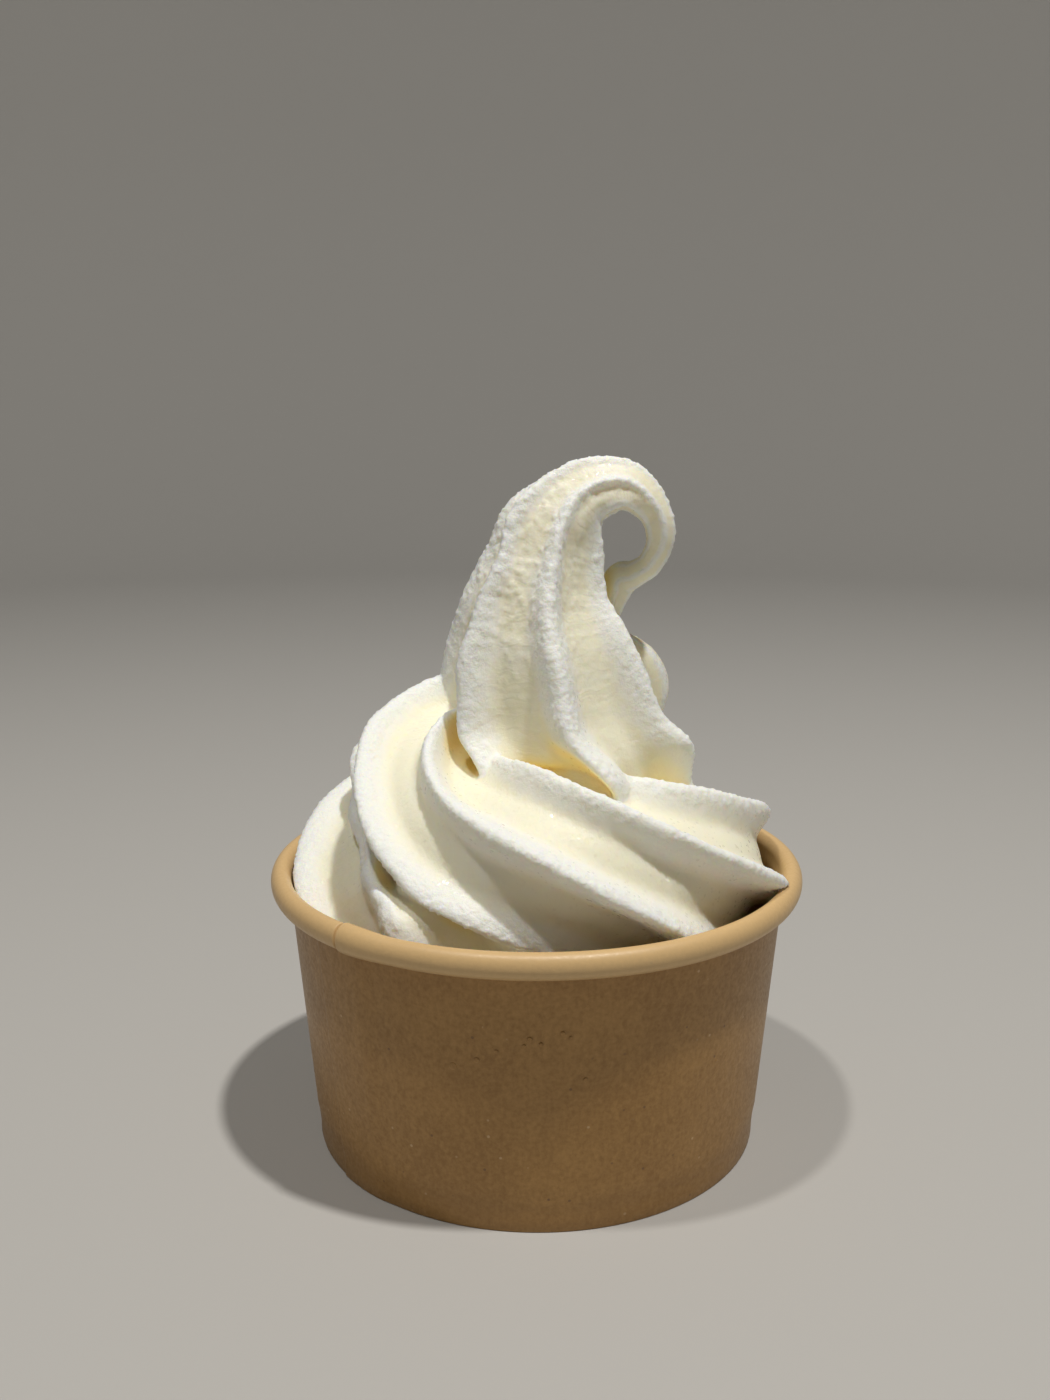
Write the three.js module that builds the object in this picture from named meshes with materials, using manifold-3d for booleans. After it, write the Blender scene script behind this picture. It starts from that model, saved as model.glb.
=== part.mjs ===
// Vanilla soft serve in a small kraft paper cup.
// Millimetres, +Z up. The origin is the centre of the cup's foot on the table and -Y is the front.

import * as THREE from 'three';
import { mergeVertices } from 'three/addons/utils/BufferGeometryUtils.js';
import Module from 'manifold-3d';

// Paper cup
const footRadius = 38;           // outside of the wall where it meets the table
const throatRadius = 41.8;       // outside of the wall just under the rolled rim
const throatHeight = 43.4;
const paper = 0.45;              // one layer of coated board
const glueGap = 0.3;             // between the wall, its turned-in hem and the disc's skirt
const rollRadius = 43.3;         // the rolled rim's middle: distance from the axis and height
const rollHeight = 45.8;
const rollReach = 1.7;           // half the roll's width
const rollRise = 2.1;            // half the roll's height
const rollTuck = -120;           // the roll starts on the inside, at 180 degrees, and ends here
const hemHeight = 6.5;           // height of the turned-in hem inside the foot
const discHeight = 8;            // underside of the bottom disc above the table
const cupSides = 56;

// Soft serve in the cup
const fillGap = 0.3;             // between the soft serve and the paper
const fillLevel = 39;            // the cup is full up to here, below the swirl
const fillChamfer = 2.5;
const core = [[0, 30], [10, 30], [9, 44], [8, 60], [4, 66], [0, 67]];   // radius and height
const coreSides = 24;

// Star section that the nozzle gives the rope
const lobes = 6;
const lobeSharpness = 1.7;       // higher gives thinner crests and wider valleys
const lobeSteps = [0, 8, 18, 30, 42, 52];   // degrees from one crest, for the points of a section

// The rope is laid clockwise, seen from above. `at` is degrees round the cup, from 0 at the left
// over 90 at the back, 180 at the right and 270 at the front. run and level place the rope's
// middle, wide and tall are its half sizes, and lobe turns the star in its section.
const rope = [
  { at: -150, run: 21, level: 27, wide: 19, tall: 17, lobe: 12 },
  { at: -90, run: 22, level: 33, wide: 19, tall: 17, lobe: 18 },
  { at: -45, run: 22, level: 39, wide: 19, tall: 17.5, lobe: 25 },
  { at: 0, run: 23, level: 44.5, wide: 19, tall: 17.5, lobe: 20 },
  { at: 45, run: 23, level: 46.5, wide: 19, tall: 17.5, lobe: 9 },
  { at: 90, run: 22.6, level: 45.5, wide: 19, tall: 17, lobe: -5 },
  { at: 140, run: 23.4, level: 44.5, wide: 19, tall: 17, lobe: -17 },
  { at: 185, run: 24.6, level: 46.5, wide: 19.2, tall: 16.5, lobe: -21 },
  { at: 225, run: 23.7, level: 50, wide: 18.6, tall: 16.4, lobe: -17 },
  { at: 265, run: 21.8, level: 54, wide: 18, tall: 16, lobe: -9 },
  { at: 305, run: 19.6, level: 54.5, wide: 17.3, tall: 16, lobe: -6 },
  { at: 345, run: 17.2, level: 58.8, wide: 17.6, tall: 16.8, lobe: 0 },
  { at: 385, run: 14.4, level: 61.3, wide: 17.8, tall: 17.5, lobe: 0 },
  { at: 420, run: 11, level: 62, wide: 17, tall: 17, lobe: 0 },
  { at: 460, run: 8, level: 64, wide: 14, tall: 15, lobe: 0 },
  { at: 500, run: 6, level: 66, wide: 10, tall: 11, lobe: 0 },
];
const ropeStart = -150;
const ropeBreak = 162;           // the lower turn ends here and the upper turn starts one step before
const ropeEnd = 498;
const ropeStep = 8;              // degrees between two sections
const ropeDepth = 0.27;          // depth of the valleys, as a share of the half size
const ropeInside = 1;            // the sections stop this far from the cup's middle line

// The peak is the rope's end, pulled up and curled over to the right. Every station gives the
// middle of the section, its half width, the depth of its valleys and the turn of the star.
const peak = [
  { x: 6, y: 0, z: 56, half: 20, depth: 0.3, twist: 26 },
  { x: 4.8, y: -0.5, z: 63, half: 21.2, depth: 0.32, twist: 21 },
  { x: 3.8, y: -0.5, z: 68.5, half: 21.7, depth: 0.32, twist: 14 },
  { x: 1.9, y: 0, z: 74, half: 19.7, depth: 0.3, twist: 8 },
  { x: 0.3, y: 0, z: 83.5, half: 17.1, depth: 0.28, twist: 7 },
  { x: -0.1, y: 0, z: 92, half: 13.6, depth: 0.26, twist: 8 },
  { x: 1, y: 0, z: 98.5, half: 11, depth: 0.25, twist: 10 },
  { x: 3.2, y: 0, z: 104.5, half: 9.1, depth: 0.24, twist: 11 },
  { x: 7.8, y: 0, z: 109.6, half: 6.2, depth: 0.23, twist: 11 },
  { x: 14.2, y: 0, z: 110.8, half: 4.5, depth: 0.2, twist: 10 },
  { x: 18.9, y: 0, z: 107.1, half: 3.1, depth: 0.16, twist: 8 },
  { x: 20.2, y: 0.5, z: 102.4, half: 2.5, depth: 0.08, twist: 6 },
  { x: 18.8, y: 1.5, z: 98.2, half: 2.2, depth: 0.04, twist: 3 },
  { x: 16.3, y: 3, z: 96, half: 2.3, depth: 0, twist: 3 },
  { x: 13.9, y: 4.5, z: 94.6, half: 3, depth: 0, twist: 3 },
  { x: 12.4, y: 6, z: 89.5, half: 2.2, depth: 0, twist: 3 },
  { x: 13, y: 6.5, z: 86, half: 1.6, depth: 0, twist: 3 },
  { x: 18, y: 7.5, z: 80, half: 3.2, depth: 0, twist: 3 },
  { x: 18.6, y: 9, z: 74.5, half: 4.2, depth: 0, twist: 3 },
  { x: 14, y: 9, z: 67, half: 4.5, depth: 0, twist: 3 },
];
const peakSections = 40;
const levelStations = [2, 5];    // sections are level before the first, square to the line after the last

const toRadians = THREE.MathUtils.degToRad;
const wasm = await Module();
wasm.setup();

// Distance of the star's edge from its middle, 1 at a crest, `degrees` from a crest.
function starEdge(degrees, depth) {
  const crest = (1 + Math.cos(toRadians(lobes * degrees))) / 2;
  return 1 - depth * (1 - crest ** lobeSharpness);
}

// A smooth curve through the stations' values, by their `at`.
function smoothStations(stations, keys) {
  const places = stations.map((station) => station.at);
  const values = stations.flatMap((station) => keys.map((key) => station[key]));
  const curve = new THREE.CubicInterpolant(places, values, keys.length, new Float64Array(keys.length));
  return (place) => Object.fromEntries(Array.from(curve.evaluate(place), (value, i) => [keys[i], value]));
}

// Angles of a section's points, in degrees.
function sectionAngles() {
  const angles = [];
  for (let lobe = 0; lobe < lobes; lobe += 1) {
    lobeSteps.forEach((step) => angles.push(lobe * 360 / lobes + step));
  }
  return angles;
}

// Closes a row of equal rings of points into one solid. `middles` are the points that the caps fan to.
function skin(rings, middles) {
  const count = rings[0].length;
  const points = [...rings.flat(), ...middles];
  const first = rings.length * count;
  const faces = [];
  for (let ring = 0; ring + 1 < rings.length; ring += 1) {
    for (let i = 0; i < count; i += 1) {
      const a = ring * count + i;
      const b = ring * count + (i + 1) % count;
      faces.push(a, b, b + count, a, b + count, a + count);
    }
  }
  for (let i = 0; i < count; i += 1) {
    const next = (i + 1) % count;
    const last = first - count;
    faces.push(first, next, i, first + 1, last + i, last + next);
  }
  const geometry = new THREE.BufferGeometry();
  geometry.setAttribute('position', new THREE.Float32BufferAttribute(points.flatMap((p) => p.toArray()), 3));
  geometry.setIndex(faces);
  return geometry;
}

// A closed mesh as a solid. A mesh whose faces point inwards is turned round.
function toManifold(geometry) {
  const bare = geometry.clone();
  bare.deleteAttribute('normal');
  bare.deleteAttribute('uv');
  const merged = mergeVertices(bare, 1e-4);
  const vertProperties = new Float32Array(merged.attributes.position.array);
  const triVerts = new Uint32Array(merged.index.array);
  const solid = new wasm.Manifold(new wasm.Mesh({ numProp: 3, vertProperties, triVerts }));
  if (solid.volume() > 0) {
    return solid;
  }
  return new wasm.Manifold(new wasm.Mesh({ numProp: 3, vertProperties, triVerts: triVerts.reverse() }));
}

function toGeometry(solid) {
  const mesh = solid.getMesh();
  const geometry = new THREE.BufferGeometry();
  geometry.setAttribute('position', new THREE.Float32BufferAttribute(mesh.vertProperties, 3));
  geometry.setIndex(new THREE.BufferAttribute(mesh.triVerts, 1));
  geometry.computeVertexNormals();
  return geometry;
}

// One stretch of the rope, less than a full turn. Its sections stand in upright planes through
// the cup's middle line.
function ropeSolid(from, to) {
  const station = smoothStations(rope, ['run', 'level', 'wide', 'tall', 'lobe']);
  const rings = [];
  const middles = [];
  for (let at = from; at <= to; at += ropeStep) {
    const { run, level, wide, tall, lobe } = station(at);
    const heading = toRadians(180 - at);
    const outward = new THREE.Vector3(Math.cos(heading), Math.sin(heading), 0);
    const place = (reach, height) => outward.clone().multiplyScalar(Math.max(reach, ropeInside)).setZ(height);
    rings.push(sectionAngles().map((angle) => {
      const turned = toRadians(angle + lobe + at - 180);
      const edge = starEdge(angle, ropeDepth);
      return place(run + wide * edge * Math.cos(turned), level + tall * edge * Math.sin(turned));
    }));
    if (at === from || at === to) {
      middles.push(place(run, level));
    }
  }
  return toManifold(skin(rings, middles));
}

// The peak with its curled tip and the thin tail that falls behind it.
function peakSolid() {
  const line = new THREE.CatmullRomCurve3(
    peak.map((station) => new THREE.Vector3(station.x, station.y, station.z)), false, 'centripetal');
  const keys = ['half', 'depth', 'twist'];
  const station = smoothStations(peak.map((row, i) => ({ ...row, at: i })), keys);
  const front = new THREE.Vector3(0, -1, 0);
  const rings = [];
  const middles = [];
  for (let i = 0; i <= peakSections; i += 1) {
    const t = i / peakSections;
    const place = t * (peak.length - 1);
    const { half, depth, twist } = station(place);
    const middle = line.getPoint(t);
    const along = new THREE.Vector3(0, 0, 1)
      .lerp(line.getTangent(t), THREE.MathUtils.smoothstep(place, ...levelStations)).normalize();
    const side = new THREE.Vector3().crossVectors(along, front).normalize();
    const forward = new THREE.Vector3().crossVectors(side, along).normalize();
    rings.push(sectionAngles().map((angle) => {
      const turned = toRadians(angle + twist);
      const reach = half * starEdge(angle, depth);
      return middle.clone()
        .addScaledVector(forward, reach * Math.cos(turned))
        .addScaledVector(side, reach * Math.sin(turned));
    }));
    if (i === 0 || i === peakSections) {
      middles.push(middle);
    }
  }
  return toManifold(skin(rings, middles));
}

function latheSolid(profile, sides) {
  return toManifold(new THREE.LatheGeometry(profile.map(([r, z]) => new THREE.Vector2(r, z)), sides)
    .rotateX(Math.PI / 2));
}

// Outside of the cup's wall at a height.
function wallRadius(height) {
  return footRadius + (throatRadius - footRadius) * height / throatHeight;
}

// Points of the roll's section at an inset from its outside, between two angles.
function rollArc(inset, from, to, steps) {
  return Array.from({ length: steps + 1 }, (_, i) => {
    const angle = toRadians(from + (to - from) * i / steps);
    return [
      rollRadius + (rollReach - inset) * Math.cos(angle),
      rollHeight + (rollRise - inset) * Math.sin(angle),
    ];
  });
}

// The sheet of the wall: its side, the roll at the mouth and the hem turned in at the foot.
function cupWall() {
  const hemReach = 3 * paper + 2 * glueGap;
  const outline = [
    [footRadius, 0],
    [throatRadius, throatHeight],
    ...rollArc(paper, 180, rollTuck, 9),
    ...rollArc(0, rollTuck, 180, 12),
    [wallRadius(hemHeight) - paper, hemHeight],
    [footRadius - paper, paper],
    [footRadius - hemReach + paper, paper],
    [wallRadius(hemHeight) - hemReach + paper, hemHeight],
    [wallRadius(hemHeight) - hemReach, hemHeight],
    [footRadius - hemReach, 0],
    [footRadius, 0],
  ];
  return latheSolid(outline, cupSides);
}

// The bottom disc, with the skirt that the hem holds.
function cupBottom() {
  const skirtFoot = paper + glueGap;
  const skirtOutside = (height) => wallRadius(height) - paper - glueGap;
  return latheSolid([
    [0, discHeight],
    [skirtOutside(discHeight) - paper, discHeight],
    [skirtOutside(skirtFoot) - paper, skirtFoot],
    [skirtOutside(skirtFoot), skirtFoot],
    [skirtOutside(discHeight + paper), discHeight + paper],
    [0, discHeight + paper],
  ], cupSides);
}

// What fills the cup below the swirl.
function fill() {
  const inside = (height) => wallRadius(height) - paper - fillGap;
  const floor = discHeight + paper + fillGap;
  return latheSolid([
    [0, floor],
    [inside(floor), floor],
    [inside(fillLevel - fillChamfer), fillLevel - fillChamfer],
    [inside(fillLevel) - fillChamfer, fillLevel],
    [0, fillLevel],
  ], cupSides);
}

// The room that the paper takes, with the gap round it. The rope is pressed flat against it.
function paperRoom() {
  const beyond = 2 * rollRadius;
  const rimTop = rollHeight + rollRise + fillGap;
  return latheSolid([
    [beyond, 0],
    [beyond, rimTop],
    ...rollArc(-fillGap, 90, 180, 3),
    [footRadius - paper - fillGap, 0],
    [beyond, 0],
  ], cupSides);
}

function softServe() {
  const swirl = wasm.Manifold.union([
    ropeSolid(ropeStart, ropeBreak),
    ropeSolid(ropeBreak - ropeStep, ropeEnd),
    peakSolid(),
    latheSolid(core, coreSides),
    fill(),
  ]).subtract(paperRoom());
  // The largest shell alone, so that small bubbles shut in between the turns are filled.
  return swirl.decompose().reduce((largest, shell) => (shell.volume() > largest.volume() ? shell : largest));
}

const kraft = new THREE.MeshStandardMaterial({ color: 0xb5875a, roughness: 0.75, metalness: 0 });
const cream = new THREE.MeshStandardMaterial({ color: 0xf3ecd4, roughness: 0.6, metalness: 0 });

function piece(name, solid, material) {
  const mesh = new THREE.Mesh(toGeometry(solid), material.clone());
  mesh.name = name;
  return mesh;
}

const model = new THREE.Group();
model.add(piece('cup_wall', cupWall(), kraft));
model.add(piece('cup_bottom', cupBottom(), kraft));
model.add(piece('soft_serve', softServe(), cream));

export default model;
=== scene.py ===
# Vanilla soft serve with a curled tip, in a small kraft paper cup.
# Metres, +Z up. The origin is the centre of the cup's foot and -Y is the front.

import math

import bmesh
import bpy
import numpy as np
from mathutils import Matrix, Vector


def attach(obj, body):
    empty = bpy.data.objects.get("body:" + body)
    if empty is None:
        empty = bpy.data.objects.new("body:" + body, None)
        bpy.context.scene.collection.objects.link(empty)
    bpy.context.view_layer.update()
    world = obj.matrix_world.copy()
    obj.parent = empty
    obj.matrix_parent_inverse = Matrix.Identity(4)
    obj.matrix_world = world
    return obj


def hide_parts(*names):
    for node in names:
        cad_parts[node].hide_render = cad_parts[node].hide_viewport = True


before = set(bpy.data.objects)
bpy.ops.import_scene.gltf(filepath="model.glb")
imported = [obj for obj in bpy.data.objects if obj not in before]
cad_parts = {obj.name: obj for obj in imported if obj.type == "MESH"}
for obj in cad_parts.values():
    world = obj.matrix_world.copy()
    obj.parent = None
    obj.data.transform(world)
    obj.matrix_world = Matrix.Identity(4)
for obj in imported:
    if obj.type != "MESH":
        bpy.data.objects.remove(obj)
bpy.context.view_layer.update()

mm = 0.001


# Short ways to write node trees


def wire(tree, target, value):  # joins an output, or sets a plain value
    if isinstance(value, bpy.types.NodeSocket):
        tree.links.new(value, target)
    else:
        target.default_value = value


def put(tree, kind, inputs=(), **settings):  # a node with its settings and inputs by name
    node = tree.nodes.new(kind)
    for name, value in settings.items():
        setattr(node, name, value)
    for name, value in dict(inputs).items():
        wire(tree, node.inputs[name], value)
    return node


def calc(tree, operation, *values):
    node = tree.nodes.new("ShaderNodeMath")
    node.operation = operation
    for socket, value in zip(node.inputs, values):
        wire(tree, socket, value)
    return node.outputs[0]


def total(tree, *values):
    result = values[0]
    for value in values[1:]:
        result = calc(tree, "ADD", result, value)
    return result


def product(tree, *values):
    result = values[0]
    for value in values[1:]:
        result = calc(tree, "MULTIPLY", result, value)
    return result


def arrow(tree, operation, *values):  # vector arithmetic
    node = tree.nodes.new("ShaderNodeVectorMath")
    node.operation = operation
    for socket, value in zip(node.inputs, values):
        wire(tree, socket, value)
    return node.outputs[0]


def stretch(tree, vector, amount):  # a vector made longer or shorter
    node = tree.nodes.new("ShaderNodeVectorMath")
    node.operation = "SCALE"
    wire(tree, node.inputs[0], vector)
    wire(tree, node.inputs["Scale"], amount)
    return node.outputs[0]


def combine(tree, x=0.0, y=0.0, z=0.0):
    return put(tree, "ShaderNodeCombineXYZ", {"X": x, "Y": y, "Z": z}).outputs[0]


def remap(tree, value, fromLow, fromHigh, toLow, toHigh, kind="SMOOTHSTEP"):
    node = put(tree, "ShaderNodeMapRange", interpolation_type=kind)
    for socket, amount in zip(node.inputs, (value, fromLow, fromHigh, toLow, toHigh)):
        wire(tree, socket, amount)
    return node.outputs[0]


def noiseAt(tree, vector, scale, detail=2.0, roughness=0.5):
    node = put(tree, "ShaderNodeTexNoise", {"Vector": vector, "Scale": scale, "Detail": detail,
                                            "Roughness": roughness})
    return node.outputs["Fac"]


def newTree(name, inputs):  # inputs: label, socket kind, value
    tree = bpy.data.node_groups.new(name, "GeometryNodeTree")
    tree.interface.new_socket("Geometry", in_out="INPUT", socket_type="NodeSocketGeometry")
    for label, kind, value in inputs:
        socket = tree.interface.new_socket(label, in_out="INPUT", socket_type="NodeSocket" + kind)
        if value is not None:
            socket.default_value = value
    tree.interface.new_socket("Geometry", in_out="OUTPUT", socket_type="NodeSocketGeometry")
    return tree, tree.nodes.new("NodeGroupInput").outputs, tree.nodes.new("NodeGroupOutput").inputs


def readField(tree, name, kind="FLOAT"):
    node = put(tree, "GeometryNodeInputNamedAttribute", {"Name": name}, data_type=kind)
    return node.outputs["Attribute"]


def storeField(tree, geometry, name, value):
    node = put(tree, "GeometryNodeStoreNamedAttribute", {"Geometry": geometry, "Name": name, "Value": value},
               data_type="FLOAT", domain="POINT")
    return node.outputs["Geometry"]


def finishTree(tree, geometry, material, outputs):
    real = put(tree, "GeometryNodeRealizeInstances", {"Geometry": geometry}).outputs[0]
    coloured = put(tree, "GeometryNodeSetMaterial", {"Geometry": real, "Material": material})
    tree.links.new(coloured.outputs[0], outputs["Geometry"])


# Short ways to make pieces


def addPiece(name, mesh):
    piece = bpy.data.objects.new(name, mesh)
    bpy.context.scene.collection.objects.link(piece)
    return piece


def meshFrom(name, points, faces):
    mesh = bpy.data.meshes.new(name)
    mesh.from_pydata([tuple(point) for point in points], [], faces)
    mesh.update()
    return mesh


def readPoints(mesh):
    points = np.empty(len(mesh.vertices) * 3)
    mesh.vertices.foreach_get("co", points)
    return points.reshape(-1, 3)


def writePoints(mesh, points):
    mesh.vertices.foreach_set("co", points.ravel())
    mesh.update()


def bake(piece):  # keeps what the modifiers make as the piece's plain mesh
    bpy.context.view_layer.update()
    graph = bpy.context.evaluated_depsgraph_get()
    mesh = bpy.data.meshes.new_from_object(piece.evaluated_get(graph))
    piece.modifiers.clear()
    piece.data = mesh


def grow(piece, tree, values):  # runs a node tree on a piece
    modifier = piece.modifiers.new(tree.name, "NODES")
    modifier.node_group = tree
    for item in tree.interface.items_tree:
        if item.item_type == "SOCKET" and item.in_out == "INPUT" and item.name in values:
            modifier[item.identifier] = values[item.name]
    bake(piece)


def smooth(low, high, value):  # 0 up to low and 1 from high, with a soft rise between
    t = np.clip((value - low) / (high - low), 0, 1)
    return t * t * (3 - 2 * t)


def evenly(sides):  # angles in degrees, all the way round
    return np.arange(sides) * 360 / sides


def spin(outline, turns, shape=None):  # carries a closed outline of radius and height round the axis
    sides = len(turns)
    angles = np.radians(turns)
    radius, height = (np.repeat(column[None], sides, 0) for column in np.array(outline).T)
    if shape:
        radius, height = shape(radius, height, np.array(turns)[:, None])
    points = np.stack([radius * np.cos(angles)[:, None], radius * np.sin(angles)[:, None], height], -1)
    rows = len(outline)
    faces = []
    for i in range(sides):
        here, there = i * rows, (i + 1) % sides * rows
        for j in range(rows):
            up = (j + 1) % rows
            faces.append((here + j, there + j, there + up, here + up))
    return points.reshape(-1, 3), faces


# Short ways to make materials


def newMaterial(name):
    material = bpy.data.materials.new(name)
    material.use_nodes = True
    return material, material.node_tree, material.node_tree.nodes["Principled BSDF"]


def ramp(tree, value, *stops):  # stops: place, colour
    node = tree.nodes.new("ShaderNodeValToRGB")
    band = node.color_ramp
    while len(band.elements) < len(stops):
        band.elements.new(0.5)
    for element, (place, colour) in zip(band.elements, stops):
        element.position = place
        element.color = (*colour, 1)
    wire(tree, node.inputs[0], value)
    return node.outputs["Color"]


def blendColours(tree, amount, first, second):
    node = tree.nodes.new("ShaderNodeMix")
    node.data_type = "RGBA"
    sockets = {socket.identifier: socket for socket in node.inputs}
    wire(tree, sockets["Factor_Float"], amount)
    for name, colour in (("A_Color", first), ("B_Color", second)):
        wire(tree, sockets[name], colour if isinstance(colour, bpy.types.NodeSocket) else (*colour, 1))
    return next(socket for socket in node.outputs if socket.identifier == "Result_Color")


# Cream

creamLook = {
    "crest": (0.87, 0.885, 0.85),     # frosted tops of the ridges
    "body": (0.885, 0.88, 0.80),
    # valleys: less frost, and yellower as painted glow and shade of the creases
    "valley": (0.885, 0.855, 0.68),
    "pocket": (0.93, 0.76, 0.34),     # painted glow in deep gaps, standing in for light that comes through the cream
    "glow": 0.45,                     # share of the light that goes through the cream
    "glowDepth": 3 * mm,
    "glowColour": (1.0, 0.75, 0.3),   # how far each colour of light spreads, as a share of that depth
    "refraction": 1.36,
    "roughness": 0.5,
    "patches": 110.0,                 # how fine the whiter patches are, per metre
    "grain": 0.5 * mm,                # size of the frost's finest grains
    "streak": 1.2 * mm,               # distance between the ripples across a valley
    "wander": 350.0,                  # how fine the ripples' waver is, per metre
    "sway": 40.0,                     # and how fine their slow bend is
    "bumpStrength": 0.6,
    "bumpHeight": 0.3 * mm,
    "sparkle": 0.4 * mm,              # size of an ice crystal that glints
    "glintFrom": 0.955,               # crystals whose lot is above this one glint
    "glintTilt": 0.2,                 # how far a glinting crystal leans
    "glintPolish": 0.3,               # how much smoother it is
}


def creamMaterial(look):
    material, tree, shader = newMaterial("vanillaCream")
    place = tree.nodes.new("ShaderNodeTexCoord").outputs["Object"]
    crest, along, pocket = (put(tree, "ShaderNodeAttribute", attribute_name=name).outputs["Fac"]
                            for name in ("crest", "along", "pocket"))
    patches = calc(tree, "SUBTRACT", noiseAt(tree, place, look["patches"], 3.0), 0.5)
    # deep pockets lower the frost, which gives them the valley colour as painted shade
    frost = total(tree, crest, product(tree, patches, 0.6), product(tree, pocket, -0.5))
    # the colour runs from the valleys, partly painted crease shade, through the body to the frosted crests
    colour = ramp(tree, frost, (0.0, look["valley"]), (0.25, look["body"]), (0.7, look["crest"]))
    # painted glow: deep pockets are tinted towards the pocket colour
    colour = blendColours(tree, remap(tree, pocket, 0.5, 0.95, 0.0, 1.0), colour, look["pocket"])
    tree.links.new(colour, shader.inputs["Base Color"])

    grains = noiseAt(tree, place, 1 / look["grain"], 3.0, 0.6)
    wander = noiseAt(tree, place, look["wander"], 1.0)
    onward = total(tree, calc(tree, "DIVIDE", along, look["streak"]), product(tree, wander, 2.0))
    stripes = combine(tree, onward, product(tree, crest, 1.5),
                      product(tree, noiseAt(tree, place, look["sway"], 0.0), 5.0))
    ripples = noiseAt(tree, stripes, 1.0, 2.0)
    frosty = remap(tree, frost, 0.1, 0.6, 0.3, 1.0)
    relief = total(tree, product(tree, grains, frosty),
                   product(tree, ripples, remap(tree, crest, 0.1, 0.7, 0.7, 0.0)))
    crystals = put(tree, "ShaderNodeTexVoronoi", {"Vector": place, "Scale": 1 / look["sparkle"]})
    tint = crystals.outputs["Color"]
    lot = put(tree, "ShaderNodeSeparateColor", {"Color": tint}).outputs[0]
    glint = remap(tree, lot, look["glintFrom"], look["glintFrom"] + 0.005, 0.0, 1.0, "LINEAR")
    lean = arrow(tree, "SUBTRACT", tint, (0.5, 0.5, 0.5))
    tilt = stretch(tree, lean, product(tree, glint, look["glintTilt"]))
    normal = tree.nodes.new("ShaderNodeNewGeometry").outputs["Normal"]
    normal = arrow(tree, "NORMALIZE", arrow(tree, "ADD", normal, tilt))
    bump = put(tree, "ShaderNodeBump", {"Height": relief, "Strength": look["bumpStrength"],
                                        "Distance": look["bumpHeight"], "Normal": normal})
    tree.links.new(bump.outputs[0], shader.inputs["Normal"])
    rough = remap(tree, grains, 0.3, 0.7, look["roughness"] + 0.1, look["roughness"] - 0.12, "LINEAR")
    rough = calc(tree, "SUBTRACT", rough, product(tree, glint, look["glintPolish"]))
    tree.links.new(rough, shader.inputs["Roughness"])
    shader.inputs["Subsurface Weight"].default_value = look["glow"]
    shader.inputs["Subsurface Radius"].default_value = look["glowColour"]
    shader.inputs["Subsurface Scale"].default_value = look["glowDepth"]
    shader.inputs["IOR"].default_value = look["refraction"]
    return material


cream = creamMaterial(creamLook)


# Kraft board

kraftLook = {
    "light": (0.43, 0.24, 0.072),
    "dark": (0.31, 0.162, 0.043),
    "rim": (0.76, 0.54, 0.275),       # painted light: the board is made paler on the rolled rim, where light falls on its top
    "hem": (0.25, 0.13, 0.036),       # painted shade on the band over the turned-in hem, which is pressed in and faces down a little
    "fleck": (0.17, 0.09, 0.04),
    "pale": (0.70, 0.52, 0.31),
    "fibre": 0.5 * mm,                # width of a fibre streak
    "mottle": 1400.0,                 # how fine the grain of the board is, per metre
    "clouds": 90.0,                   # and its large pale and dark patches
    "spots": 620.0,                   # flecks and pale specks, per metre
    "cloudLift": 4 * mm,              # how far the patches shift the upper edge of the painted hem shade
    "hemShadeFull": 6.5 * mm,              # the painted shade is darkest below this height
    "hemShadeEnd": 8.6 * mm,               # and gone above this one
    "rimLightStart": 43 * mm,              # the painted light on the rolled rim starts here
    "rimLightFull": 45 * mm,
    "bumpStrength": 0.25,
    "bumpHeight": 0.12 * mm,
    "refraction": 1.48,
    "roughness": 0.42,
}


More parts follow.
